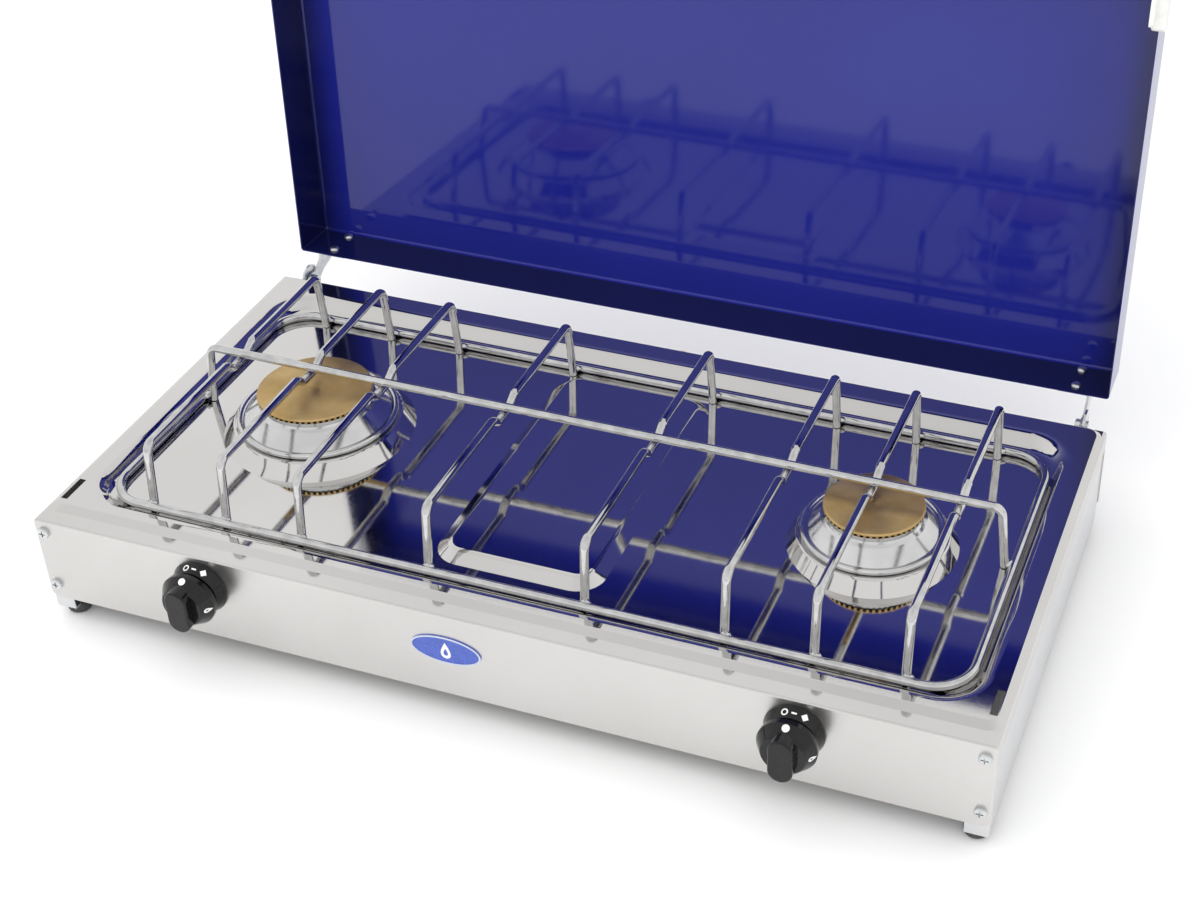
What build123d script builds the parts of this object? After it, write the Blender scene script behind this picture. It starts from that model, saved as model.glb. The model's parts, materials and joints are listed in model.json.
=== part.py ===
from build123d import *
import math
import os

# Two-burner camping stove: folded sheet case, pressed hob, wire pan support, hinged lid.
# Lengths are in millimetres. Pieces are drawn with y counted back from the front face and z up
# from the floor, then all of them are shifted so that the origin lies under the middle of the box.

# Case
body_width = 600.0
body_depth = 303.0
ledge_height = 76.5
panel_height = 60.0
lip_height = 13.0
sheet = 0.8
seam = 0.05
foot_height = 8.0
flange_width = 14.0
panel_corner = 6.0

# Hob pressing
deck_rise = 2.2
deck_front = 17.0
deck_side = 295.2
deck_back = 299.5
deck_front_run = 6.0
deck_side_run = 2.4
deck_corner = 8.0
well_half_width = 282.5
well_front = 24.5
well_back = 283.5
well_run = 10.0
well_side_run = 7.0
well_drop = 7.0
well_corner = 28.0
well_bend = 8.0
plateau_x = -4.0
plateau_half_width = 46.0
plateau_front = 57.5
plateau_back = 248.5
plateau_run = 8.0
plateau_rise = 5.5
plateau_corner = 9.0
plateau_bend = 5.0
cone_rise = 9.6
cone_ledge = 2.0
cone_bend = 2.0
slot_inner = 289.6
slot_outer = 294.0
slot_front = 21.5
slot_back = 42.0

# Burners
left_x = -185.5
right_x = 188.0
burner_y = 150.0
large_burner = {"cap": 37.0, "lip": 52.0, "cone": 62.0}
small_burner = {"cap": 30.5, "lip": 44.0, "cone": 51.9}
burner_bead = 2.0
burner_screw_inset = 8.5
burner_screw_depth = 4.5
neck_wall = 3.8
neck_step = 1.2
cap_top = 25.2
cap_thick = 3.4
cap_edge = 0.8
cap_rim = 2.2
cap_seat_gap = 0.1
spigot_step = 5.6
spigot_depth = 3.0
spigot_wall = 2.0

# Pan support wire
wire = 2.7
weld_gap = 0.02
ring_gap = 0.4
support_half_width = 273.0
support_front = 36.0
support_back = 264.0
support_corner = 25.0
bar_height = 37.6
bar_lean = 4.5
bar_bend = 6.0
long_bar_y = 154.0
dip_ends = (138.0, 170.0)
dip_floor = (144.0, 160.0)
cross_bar_x = [-241.0, -190.0, -138.0, -53.0, 47.0, 132.5, 185.5, 238.5]

# Taps and knobs
tap_drop = 21.5
knob_reach = 27.5
knob_face = 22.0
knob_radius = 17.6
knob_face_radius = 13.4
knob_shoulder = 14.5
knob_play = 0.5
grip_length = 29.6
grip_width = 14.4
hub_radius = 11.5
push_travel = 2.5
spindle = 3.0
running_gap = 0.06

# Lid and hinges
lid_half_width = 295.7
lid_front = 5.5
lid_back = 295.5
lid_depth = 37.0
rim_rise = 5.0
pin_y = 312.1
pin_drop = 5.9
open_angle = 92.86
plate = 1.5
pin_radius = 2.5
arm_x = 281.2
rivet_x = 272.7
rivet_heights = [8.2, 29.2]

# Fasteners and small pieces
screw_x = 293.6
screw_hole = 2.0
screw_shank = 1.9
screw_head = 3.8
screw_head_height = 2.4
screw_length = 7.0
rivet_hole = 2.0
rivet_shank = 2.0
ear_rivet_x = 270.0
foot_x = 290.5
foot_radius = 7.5
foot_neck = 2.9
foot_spots = [11.0, 292.0]
badge_x = -23.7
badge_z = 50.9
badge_half = (22.5, 10.0)
catch_front = 22.0
catch_back = 45.5

# Gas parts, as distances behind the front face
hole_margin = 12.5
bracket_back = 2.4
barrel_front = 8.0
barrel_back = 38.0
barrel_radius = 11.0
plug_start = 9.0
plug_end = 33.0
plug_front = 8.0
plug_back = 6.0
rail_y = 24.0
pipe = 5.0
branch_end = 60.0
nut_half = 4.0
nut_radius = 9.5
nozzle_inner = 280.0
nozzle_thread = 7.0
tail_radius = 4.5
tail_length = 20.0
jet_shank = 3.0
jet_tip = 53.0
tube_mouth = 55.0
tube_radius = 11.0
bowl_depth = 16.5
cast_wall = 3.0
bezel_reach = 8.0
bezel_radius = 18.0
bezel_front_radius = 15.3
bezel_bore = 13.3
bezel_floor = 2.0
spindle_front = -19.0
spindle_back = 14.0
spring_end = 20.0
spring_radius = 2.0
spring_wire = 0.4

floor_level = ledge_height + deck_rise - well_drop
deck_level = ledge_height + deck_rise
cone_level = floor_level + cone_rise
burners = ((large_burner, left_x), (small_burner, right_x))
tap_z = ledge_height - tap_drop
rim_z = ledge_height + rim_rise
pin_z = ledge_height - pin_drop
pin_axis = Axis((0, pin_y, pin_z), (1, 0, 0))


def turned_back(y, z):
    """Where a point of the closed lid lies once the lid is open, as y and z."""
    turn = math.radians(-open_angle)
    dy = y - pin_y
    dz = z - pin_z
    return (
        pin_y + dy * math.cos(turn) - dz * math.sin(turn),
        pin_z + dy * math.sin(turn) + dz * math.cos(turn),
    )


lid_reach = turned_back(lid_front, rim_z + lid_depth)[0]
front_y = (knob_reach - lid_reach) / 2


def block(x0, x1, y0, y1, z0, z1):
    """A box between two corners."""
    return Pos((x0 + x1) / 2, (y0 + y1) / 2, (z0 + z1) / 2) * Box(x1 - x0, y1 - y0, z1 - z0)


def rod(start, end, radius):
    """A round bar between two points."""
    path = Vector(*end) - Vector(*start)
    return extrude(Plane(Vector(*start), z_dir=path) * Circle(radius), path.length)


def tube(start, end, radius, bore):
    """A pipe between two points."""
    return rod(start, end, radius) - rod(start, end, bore)


def spun(points, x, y, z):
    """A turned piece on a vertical axis, from radius and height pairs."""
    outline = Plane.XZ * make_face(Polyline(*points, close=True))
    return Pos(x, y, z) * revolve(outline, Axis.Z)


def spun_forward(points, x, z):
    """A turned piece on an axis along y, from radius and y pairs."""
    outline = make_face(Polyline(*points, close=True))
    return Pos(x, 0, z) * revolve(outline, Axis.Y)


def slab(x_half, y0, y1, corner, z):
    """A horizontal rectangle with round corners, centred on x."""
    return Pos(0, (y0 + y1) / 2, z) * RectangleRounded(2 * x_half, y1 - y0, corner)


def tapered(lower, upper):
    """The solid between two such rectangles."""
    return loft([lower, upper])


def level_edges(solid, z):
    """The edges of a solid that lie at one height."""
    return solid.edges().filter_by_position(Axis.Z, z - 0.01, z + 0.01)


def mirrored(piece):
    """The same piece on the other side."""
    return mirror(piece, Plane.YZ)


# ---------------------------------------------------------------- case

def well_form(inset):
    """The space above the hob's well, as seen by the face that lies inset below the sheet's top."""
    floor = floor_level - inset
    deck = deck_level - inset
    inner = well_half_width - well_side_run + inset
    near = well_front + well_run - inset
    far = well_back - well_run + inset
    lower = slab(inner, near, far, well_corner - well_run, floor)
    outer = well_half_width + inset
    upper = slab(outer, well_front - inset, well_back + inset, well_corner, deck)
    form = tapered(lower, upper)
    return fillet(level_edges(form, floor), well_bend + inset)


def plateau_form(inset):
    """The raised field in the middle of the well."""
    floor = floor_level - inset
    foot = plateau_half_width + plateau_run - inset
    near = plateau_front - plateau_run + inset
    far = plateau_back + plateau_run - inset
    lower = slab(foot, near, far, 2 * plateau_corner, floor)
    top = plateau_half_width - inset
    upper = slab(top, plateau_front + inset, plateau_back - inset, plateau_corner, floor + plateau_rise)
    form = fillet(level_edges(tapered(lower, upper), floor + plateau_rise), plateau_bend - inset)
    return Pos(plateau_x, 0, 0) * form


def cone_form(burner, x, inset):
    """The raised cone that carries one burner."""
    foot = burner["cone"] - inset
    top = burner["lip"] + cone_ledge - inset
    form = Pos(x, burner_y, floor_level - inset + cone_rise / 2) * Cone(foot, top, cone_rise)
    return fillet(level_edges(form, cone_level - inset), cone_bend - inset)


def deck_form(inset):
    """The shallow raised deck on top of the case."""
    lower_half = deck_side + deck_side_run - inset
    near = deck_front - deck_front_run + inset
    far = deck_back + deck_side_run - inset
    lower = slab(lower_half, near, far, deck_corner, ledge_height - inset)
    upper = slab(deck_side - inset, deck_front + inset, deck_back - inset, deck_corner, deck_level - inset)
    form = tapered(lower, upper)
    return fillet(level_edges(form, deck_level - inset), 1.5 - inset / 2)


def case_form(inset, bottom):
    """The folded case and its pressed top, as a solid block."""
    half = body_width / 2 - inset
    form = block(-half, half, inset, body_depth - inset, bottom, ledge_height - inset)
    top = level_edges(form, ledge_height - inset)
    form = fillet(top.filter_by(Axis.Y), 2.5 - inset)
    front_and_back = level_edges(form, ledge_height - inset).filter_by(Axis.X)
    form = fillet(front_and_back, 1.3 - inset / 2)
    form = form + deck_form(inset)
    form = form - well_form(inset)
    rim = [e for e in level_edges(form, deck_level - inset) if abs(e.center().X) < well_half_width + 2
           and well_front - 2 < e.center().Y < well_back + 2]
    form = fillet(rim, well_bend - inset)
    form = form + plateau_form(inset)
    for burner, x in burners:
        form = form + cone_form(burner, x, inset)
    return form


def panel_corner_cut(side, bottom):
    """What is cut away to round the lower corners of the front and back panels."""
    centre_x = side * (body_width / 2 - panel_corner)
    inner, outer = sorted((centre_x, side * (body_width / 2 + 1)))
    square = block(inner, outer, -1, body_depth + 1, bottom - 1, bottom + panel_corner)
    centre_z = bottom + panel_corner
    return square - rod((centre_x, -2, centre_z), (centre_x, body_depth + 2, centre_z), panel_corner)


def top_cover():
    """Hob, front and back in one folded sheet, with a short lip over each side."""
    bottom = ledge_height - panel_height
    cover = case_form(0.0, bottom) - case_form(sheet, bottom - 5)
    half = body_width / 2
    for side in (-1, 1):
        inner, outer = sorted((side * (half - sheet - 0.2), side * (half + 1)))
        cover = cover - block(inner, outer, sheet, body_depth - sheet, bottom - 1, ledge_height - lip_height)
        inner, outer = sorted((side * slot_inner, side * slot_outer))
        cover = cover - block(inner, outer, slot_front, slot_back, ledge_height - 5, deck_level + 1)
        cover = cover - panel_corner_cut(side, bottom)
    for burner, x in burners:
        cover = cover - rod((x, -1, tap_z), (x, 2, tap_z), 8.0)
        centre = (x, burner_y, floor_level)
        cover = cover - rod(centre, (x, burner_y, cone_level + 5), burner["lip"] - hole_margin)
        for spot in screw_spots(burner, x):
            cover = cover - rod((*spot, floor_level), (*spot, cone_level + 5), screw_hole)
    for spot in panel_screw_spots():
        cover = cover - rod((spot[0], -1, spot[1]), (spot[0], body_depth + 1, spot[1]), screw_hole)
    for x, z in ear_rivet_spots():
        cover = cover - rod((x, body_depth - 2, z), (x, body_depth + 1, z), rivet_hole)
    return cover - rod((0, body_depth - 2, tap_z), (0, body_depth + 1, tap_z), nozzle_thread + running_gap)


def side_panel():
    """The right-hand side: a sheet folded in along the front, the back and the bottom."""
    outer_x = body_width / 2 - sheet - seam
    front = sheet + seam
    back = body_depth - sheet - seam
    top = ledge_height - sheet - 2.0
    inner_x = outer_x - flange_width
    panel = block(inner_x, outer_x, front, back, foot_height, top)
    hollow = block(inner_x - 1, outer_x - sheet, front + sheet, back - sheet, foot_height + sheet, top + 1)
    panel = panel - hollow
    uprights = panel.edges().filter_by(Axis.Z).group_by(Axis.X)[-1]
    panel = fillet(uprights, 1.2)
    tabs = [e for e in panel.edges().filter_by(Axis.Y) if abs(e.center().X - inner_x) < 0.1
            and e.length < 1 and e.center().Z > top - 1]
    panel = fillet(tabs, 4.0)
    for spot in panel_screw_spots():
        panel = panel - rod((spot[0], -1, spot[1]), (spot[0], body_depth + 1, spot[1]), screw_hole)
    for y in foot_spots:
        panel = panel - rod((foot_x, y, foot_height - 1), (foot_x, y, foot_height + 2), foot_neck + 0.1)
    return panel


def panel_screw_spots():
    """Where the case screws sit, as x and z, on each end of the front and back."""
    heights = (ledge_height - 8.9, ledge_height - 49.2)
    return [(side * screw_x, z) for side in (-1, 1) for z in heights]


def screw_spots(burner, x):
    """Where the screws under one burner sit, as x and y."""
    radius = burner["lip"] - burner_screw_inset
    angles = [math.radians(a) for a in (30, 150, 270)]
    return [(x + radius * math.cos(a), burner_y + radius * math.sin(a)) for a in angles]


def ear_rivet_spots():
    """Where the hinge ears are riveted to the back, as x and z."""
    return [(side * ear_rivet_x, z) for side in (-1, 1) for z in (pin_z - 4.0, pin_z - 20.0)]


def pan_screw(x, face, away, z):
    """A cross-head screw through a vertical panel, its head on the side that away points to."""
    shank = rod((x, face, z), (x, face - away * screw_length, z), screw_shank)
    head = rod((x, face, z), (x, face + away * screw_head_height, z), screw_head)
    outer = head.edges().sort_by(Axis.Y)[0 if away < 0 else -1]
    head = fillet(outer, 1.4)
    deep = face + away * (screw_head_height - 1.3)
    top = face + away * (screw_head_height + 1)
    low, high = sorted((deep, top))
    head = head - block(x - 2.2, x + 2.2, low, high, z - 0.45, z + 0.45)
    head = head - block(x - 0.45, x + 0.45, low, high, z - 2.2, z + 2.2)
    return shank + head


def panel_screws(face, away):
    """All the screws on the front or on the back."""
    return Compound([pan_screw(x, face, away, z) for x, z in panel_screw_spots()])


def rubber_foot(side, y):
    """A push-in foot: a rounded pad, a neck in the flange's hole and a button above it."""
    pad = rod((side * foot_x, y, 0), (side * foot_x, y, foot_height), foot_radius)
    pad = fillet(level_edges(pad, 0), 3.0)
    above = foot_height + sheet
    neck = rod((side * foot_x, y, foot_height), (side * foot_x, y, above), foot_neck)
    button = rod((side * foot_x, y, above), (side * foot_x, y, above + 2.2), foot_neck + 1.5)
    button = fillet(level_edges(button, above + 2.2), 1.0)
    return pad + neck + button


def badge():
    """An oval plate stuck on the front, with a raised border."""
    face = Plane.XZ.offset(0)
    plate_form = extrude(Pos(badge_x, 0, badge_z) * (face * Ellipse(*badge_half)), 0.6)
    ring = Ellipse(*badge_half) - Ellipse(badge_half[0] - 1.2, badge_half[1] - 1.2)
    border = extrude(Pos(badge_x, -0.6, badge_z) * (face * ring), 0.3)
    return plate_form + border


# ---------------------------------------------------------------- burners and gas parts

def burner_body(burner, x):
    """The cast cup of one burner, with its bowl under the hob and its mixing tube."""
    lip = burner["lip"]
    neck = burner["cap"] - neck_step
    bore = neck - neck_wall
    bowl = lip - hole_margin - 2.0
    seat = cone_level + seam
    mouth = ledge_height + cap_top - cap_thick - cap_seat_gap
    floor = tap_z - bowl_depth
    edge = lip - burner_bead - 0.5
    groove = (lip - 2.2 * burner_bead, seat + 1.6 * burner_bead)
    outer = [
        (0, floor), (bowl - 4, floor), (bowl, floor + 4), (bowl, seat), (edge, seat),
        (edge, seat + 1.7 * burner_bead), groove, (neck + 2.6, mouth - 5.2), (neck + 0.7, mouth - 4.0),
        (neck, mouth - 2.6), (neck, mouth), (0, mouth),
    ]
    inner = [
        (0, floor + cast_wall), (bowl - cast_wall, floor + cast_wall), (bowl - cast_wall, seat - 10),
        (bore, seat - 6), (bore, mouth + 1), (0, mouth + 1),
    ]
    body = spun(outer, x, burner_y, 0)
    body = body + Pos(x, burner_y, seat + 1.1 * burner_bead) * Torus(lip - burner_bead, burner_bead)
    body = body + rod((x, tube_mouth, tap_z), (x, burner_y, tap_z), tube_radius)
    body = body + rod((x, tube_mouth, tap_z), (x, tube_mouth + 5, tap_z), tube_radius + 3)
    body = body - spun(inner, x, burner_y, 0)
    body = body - rod((x, tube_mouth - 1, tap_z), (x, burner_y, tap_z), tube_radius - 2)
    for spot in screw_spots(burner, x):
        body = body - rod((*spot, seat - 1), (*spot, seat + burner_screw_depth), screw_shank + running_gap)
    return body


def burner_screws():
    """The screws that hold both burner bodies, put in from under the hob."""
    screws = []
    for burner, x in burners:
        under = cone_level - sheet
        for spot in screw_spots(burner, x):
            shank = rod((*spot, under), (*spot, under + sheet + 4.0), screw_shank)
            head = rod((*spot, under - 2.4), (*spot, under), screw_head)
            head = fillet(level_edges(head, under - 2.4), 1.2)
            screws.append(shank + head)
    return Compound(screws)


def burner_cap(burner, x):
    """The brass cap, which rests on the cup's neck with a spigot inside it."""
    cap = burner["cap"]
    top = ledge_height + cap_top
    under = top - cap_thick
    spigot = cap - spigot_step
    core = spigot - spigot_wall
    foot = under - spigot_depth
    outline = [
        (0, top), (cap - cap_edge, top), (cap, top - cap_edge), (cap, top - cap_rim), (cap - neck_step, under),
        (spigot, under), (spigot, foot), (core, foot), (core, under), (0, under),
    ]
    return spun(outline, x, burner_y, 0)


def tap_body(x):
    """The brass barrel that holds the plug, with its gas inlet towards the middle of the case."""
    side = 1 if x > 0 else -1
    barrel = rod((x, barrel_front, tap_z), (x, barrel_back, tap_z), barrel_radius)
    barrel = fillet(barrel.edges().sort_by(Axis.Y)[-1], 2.0)
    outlet = rod((x, barrel_back, tap_z), (x, barrel_back + 4, tap_z), 6.0)
    inlet = rod((x, rail_y, tap_z), (x - side * (barrel_radius + 6), rail_y, tap_z), 5.0)
    bore = spun_forward([(0, barrel_front - 1), (plug_front + running_gap, barrel_front - 1),
                         (plug_front + running_gap, plug_start), (plug_back + running_gap, plug_end + 0.3),
                         (0, plug_end + 0.3)], x, tap_z)
    jet_hole = rod((x, barrel_back - 3, tap_z), (x, barrel_back + 5, tap_z), jet_shank)
    return barrel + outlet + inlet - bore - jet_hole


def tap_plug(x):
    """The tapered plug that opens and shuts the gas, bored for the spindle and its spring."""
    outline = [(0, plug_start), (plug_front, plug_start), (plug_back, plug_end), (0, plug_end)]
    plug = spun_forward(outline, x, tap_z)
    return plug - rod((x, plug_start - 1, tap_z), (x, spring_end, tap_z), spindle + running_gap)


def tap_bonnet(x):
    """The cover on the front of the barrel that guides the spindle."""
    cover = rod((x, bracket_back + seam, tap_z), (x, barrel_front - seam, tap_z), barrel_radius)
    return cover - rod((x, 0, tap_z), (x, barrel_front, tap_z), spindle + running_gap)


def tap_bracket(x):
    """The plate behind the front panel that carries one tap."""
    front = sheet + seam
    carrier = block(x - 20, x + 20, front, bracket_back, tap_z - 15, tap_z + 13)
    carrier = fillet(carrier.edges().filter_by(Axis.Y), 4.0)
    return carrier - rod((x, -1, tap_z), (x, bracket_back + 1, tap_z), 7.0)


def tap_spindle(x):
    """The D-shaped shaft that the knob is pressed on."""
    shaft = rod((x, spindle_front, tap_z), (x, spindle_back, tap_z), spindle)
    flat = block(x - 4, x + 4, spindle_front - 1, -5.0, tap_z + 2.0, tap_z + 4)
    return shaft - flat


def tap_spring(x):
    """The spring that pushes the spindle and knob back out."""
    length = spring_end - spindle_back - 2 * spring_wire - 0.1
    path = Helix(length / 4, length, spring_radius)
    coil = sweep(Plane(path @ 0, z_dir=path % 0) * Circle(spring_wire), path, is_frenet=True)
    along_y = Plane((x, spindle_back + spring_wire + 0.05, tap_z), x_dir=(1, 0, 0), z_dir=(0, 1, 0))
    return along_y * coil


def jet(x):
    """The brass injector screwed into the tap's outlet."""
    hexagon = extrude(Plane((x, barrel_back + 4 + seam, tap_z), z_dir=(0, 1, 0)) * RegularPolygon(5.0, 6), 4)
    shank = rod((x, barrel_back - 2, tap_z), (x, barrel_back + 4 + seam, tap_z), jet_shank - 0.05)
    nose = rod((x, barrel_back + 8 + seam, tap_z), (x, jet_tip, tap_z), 3.2)
    nose = fillet(nose.edges().sort_by(Axis.Y)[-1], 1.2)
    return hexagon + shank + nose


def rail_ends():
    """Where the rail stops, just short of the inlets of both taps."""
    reach = barrel_radius + 6 + seam
    return left_x + reach, right_x - reach


def manifold():
    """The rail between the taps with a branch brazed on for the supply pipe."""
    left, right = rail_ends()
    rail = rod((left, rail_y, tap_z), (right, rail_y, tap_z), pipe)
    branch = rod((0, rail_y, tap_z), (0, branch_end, tap_z), pipe)
    gas = rod((left - 1, rail_y, tap_z), (right + 1, rail_y, tap_z), pipe - 1)
    return rail + branch - gas - rod((0, rail_y, tap_z), (0, branch_end + 1, tap_z), pipe - 1)


def supply_pipe():
    """The pipe from the inlet at the back to the manifold's branch."""
    return tube((0, branch_end + seam, tap_z), (0, nozzle_inner - seam, tap_z), pipe, pipe - 1)


def union_nut(centre, along):
    """A hexagonal nut round a pipe joint."""
    axis = Vector(*along)
    start = Vector(*centre) - axis * nut_half
    plane = Plane(start, z_dir=axis)
    nut = extrude(plane * RegularPolygon(nut_radius, 6), 2 * nut_half)
    return nut - extrude(plane * Circle(pipe + seam), 2 * nut_half)


def pipe_nuts():
    """The nuts at the two joints of the supply pipe and at the ends of the rail."""
    left, right = rail_ends()
    nuts = [union_nut((x, rail_y, tap_z), (1, 0, 0)) for x in (left + nut_half, right - nut_half)]
    nuts.append(union_nut((0, branch_end, tap_z), (0, 1, 0)))
    nuts.append(union_nut((0, nozzle_inner - nut_half - seam, tap_z), (0, 1, 0)))
    return Compound(nuts)


def hose_nozzle():
    """The inlet through the back: a threaded body with a shoulder outside and a hose tail."""
    inner = rod((0, nozzle_inner, tap_z), (0, body_depth, tap_z), nozzle_thread)
    shoulder = extrude(Plane((0, body_depth + seam, tap_z), z_dir=(0, 1, 0)) * RegularPolygon(9.0, 6), 5)
    neck = rod((0, body_depth, tap_z), (0, body_depth + seam, tap_z), nozzle_thread)
    tail = rod((0, body_depth + 5, tap_z), (0, body_depth + 5 + seam + tail_length, tap_z), tail_radius)
    tail = fillet(tail.edges().sort_by(Axis.Y)[-1], 0.8)
    whole = inner + neck + shoulder + tail
    return whole - rod((0, nozzle_inner - 1, tap_z), (0, body_depth + 40, tap_z), 2.5)


def nozzle_locknut():
    """The nut that clamps the nozzle to the back panel."""
    back = body_depth - sheet - seam
    plane = Plane((0, back - 4, tap_z), z_dir=(0, 1, 0))
    nut = extrude(plane * RegularPolygon(11.0, 6), 4)
    return nut - extrude(plane * Circle(nozzle_thread + seam), 4)


# ---------------------------------------------------------------- knobs

def bezel(x):
    """The fixed ring behind a knob, which carries the marks."""
    outline = [
        (7, -seam), (bezel_radius, -seam), (bezel_radius, -1.6), (bezel_front_radius, -bezel_reach),
        (bezel_bore, -bezel_reach), (bezel_bore, -bezel_floor), (7, -bezel_floor),
    ]
    return spun_forward(outline, x, tap_z)


def knob(x):
    """A knob with a conical skirt, a rounded grip across it and a hub that goes into the bezel."""
    skirt = -bezel_reach - push_travel - knob_play
    hub = -bezel_floor - push_travel - knob_play
    outline = [
        (0, -knob_face), (knob_face_radius - 0.6, -knob_face), (knob_face_radius, -knob_face + 0.6),
        (knob_radius, -knob_shoulder), (knob_radius - 0.3, skirt), (hub_radius, skirt), (hub_radius, hub),
        (0, hub),
    ]
    body = spun_forward(outline, x, tap_z)
    front = Plane((x, -knob_reach, tap_z), x_dir=(0, 0, 1), z_dir=(0, 1, 0))
    grip = extrude(front * SlotOverall(grip_length, grip_width), knob_reach - knob_face + 3.0)
    grip = fillet(grip.faces().sort_by(Axis.Y)[0].edges(), 1.2)
    body = body + grip
    return body - rod((x, spindle_front - seam, tap_z), (x, 0, tap_z), spindle + seam)


# ---------------------------------------------------------------- pan support

def bent_wire(points, bends):
    """A round wire along straight runs joined by arcs."""
    path = FilletPolyline(*points, radius=bends)
    start = Plane(path @ 0, z_dir=path % 0)
    return sweep(start * Circle(wire), path)


def support_ring():
    """The wire frame that lies in the well."""
    level = floor_level + wire + ring_gap
    width = 2 * support_half_width
    depth = support_back - support_front
    middle = (support_front + support_back) / 2
    loop = Pos(0, middle, level) * RectangleRounded(width, depth, support_corner)
    path = loop.wires()[0]
    return sweep(Plane(path @ 0, z_dir=path % 0) * Circle(wire), path)


def cross_bar(x):
    """A raised bar across the frame: two legs, a top and a dip for the long bar."""
    foot = support_front + 2 * wire + weld_gap
    heel = support_back - 2 * wire - weld_gap
    low = floor_level + 0.6
    high = ledge_height + bar_height
    dip = high - 2 * wire - weld_gap
    points = [
        (x, foot, low), (x, foot + bar_lean, high),
        (x, dip_ends[0], high), (x, dip_floor[0], dip), (x, dip_floor[1], dip), (x, dip_ends[1], high),
        (x, heel - bar_lean, high), (x, heel, low),
    ]
    return bent_wire(points, [bar_bend, 5.0, 4.0, 4.0, 5.0, bar_bend])


def long_bar():
    """The bar that runs lengthwise over the dips, turned down to the frame at both ends."""
    foot = support_half_width - 2 * wire - weld_gap
    low = floor_level + 0.6
    high = ledge_height + bar_height
    shoulder = foot - bar_lean
    across = ((-foot, low), (-shoulder, high), (shoulder, high), (foot, low))
    points = [(x, long_bar_y, z) for x, z in across]
    return bent_wire(points, [bar_bend, bar_bend])


# ---------------------------------------------------------------- lid, drawn closed

def lid_shell(inset):
    """The lid's outside or, inset by the sheet, its inside."""
    half = lid_half_width - inset
    bottom = rim_z - 4 if inset else rim_z
    shell = block(-half, half, lid_front + inset, lid_back - inset, bottom, rim_z + lid_depth - inset)
    shell = fillet(shell.edges().filter_by(Axis.Z), 2.2 - inset)
    return fillet(level_edges(shell, rim_z + lid_depth - inset), 2.5 - inset)


def lid_pan():
    """The enamelled lid."""
    pan = lid_shell(0.0) - lid_shell(sheet)
    for x, z in arm_rivet_spots():
        pan = pan - rod((x, lid_back - 2, z), (x, lid_back + 1, z), rivet_shank)
    return pan


def arm_rivet_spots():
    """Where the hinge arms are riveted to the lid's back wall, as x and z."""
    return [(side * rivet_x, rim_z + height) for side in (-1, 1) for height in rivet_heights]


def hinge_arm():
    """The right-hand arm: a flange on the lid's wall and a curved plate down to the pin."""
    flange = block(arm_x - 19.2, arm_x + plate, lid_back + seam, lid_back + plate, rim_z + 2, rim_z + 36)
    near = lid_back + seam
    outline = Polyline(
        (near, rim_z + 2.5), (near + 5.5, rim_z + 0.5), (pin_y - 5.8, pin_z + 3.9), (pin_y - 6.8, pin_z),
        (pin_y - 4.8, pin_z - 5.0), (pin_y, pin_z - 7.0), (pin_y + 9.0, pin_z - 7.2),
        (pin_y + 11.2, pin_z - 5.2),
        (pin_y + 9.0, pin_z + 3.0), (pin_y + 2.0, pin_z + 9.0), (pin_y - 2.0, pin_z + 15.0),
        (pin_y - 5.0, pin_z + 25.0), (near + plate, rim_z + 34), (near, rim_z + 36), close=True)
    web = extrude(Plane.YZ.offset(arm_x) * make_face(outline), plate)
    arm = flange + web
    for height in rivet_heights:
        z = rim_z + height
        arm = arm - rod((rivet_x, lid_back - 1, z), (rivet_x, lid_back + 3, z), rivet_shank)
    hole = rod((arm_x - 1, pin_y, pin_z), (arm_x + plate + 1, pin_y, pin_z), pin_radius + running_gap)
    return arm - hole


def arm_rivets():
    """Dome-head rivets through the lid's back wall, heads inside."""
    rivets = []
    for x, z in arm_rivet_spots():
        inside = lid_back - sheet
        outside = lid_back + plate
        shank = rod((x, inside, z), (x, outside, z), rivet_shank)
        head = rod((x, inside - 2.4, z), (x, inside, z), 3.5)
        head = fillet(head.edges().sort_by(Axis.Y)[0], 2.0)
        tail = rod((x, outside, z), (x, outside + 1.0, z), 3.2)
        rivets.append(shank + head + tail)
    return Compound(rivets)


def lid_catch():
    """The right-hand plastic catch over the lid's rim, with a tongue that enters the hob's slot."""
    body = block(291.2, 299.6, catch_front, catch_back, rim_z - 2.3, rim_z + 9.0)
    body = fillet(body.edges().filter_by(Axis.X), 3.0)
    body = fillet(body.edges().filter_by(Axis.Y).group_by(Axis.Z)[-1], 1.0)
    inner = lid_half_width - sheet - 0.1
    outer = lid_half_width + 0.1
    body = body - block(inner, outer, catch_front - 1, catch_back + 1, rim_z - 0.1, rim_z + 12)
    tongue = block(290.7, 293.3, slot_front + 1.5, slot_back - 1.5, rim_z - 11.0, rim_z + 3)
    tongue = fillet(tongue.edges().filter_by(Axis.X).group_by(Axis.Z)[0], 3.0)
    return body + tongue


def catch_spring():
    """The right-hand steel clip that grips the rim beside the catch."""
    wall = 1.0
    inner = lid_half_width - sheet - 0.1
    outer = lid_half_width + 0.1
    clip = block(inner - wall, outer + wall, catch_front - 13.0, catch_front - 0.2, rim_z - 1.1, rim_z + 8.0)
    return clip - block(inner, outer, catch_front - 14, catch_front + 1, rim_z - 0.1, rim_z + 9)


# ---------------------------------------------------------------- hinge parts on the case

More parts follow.
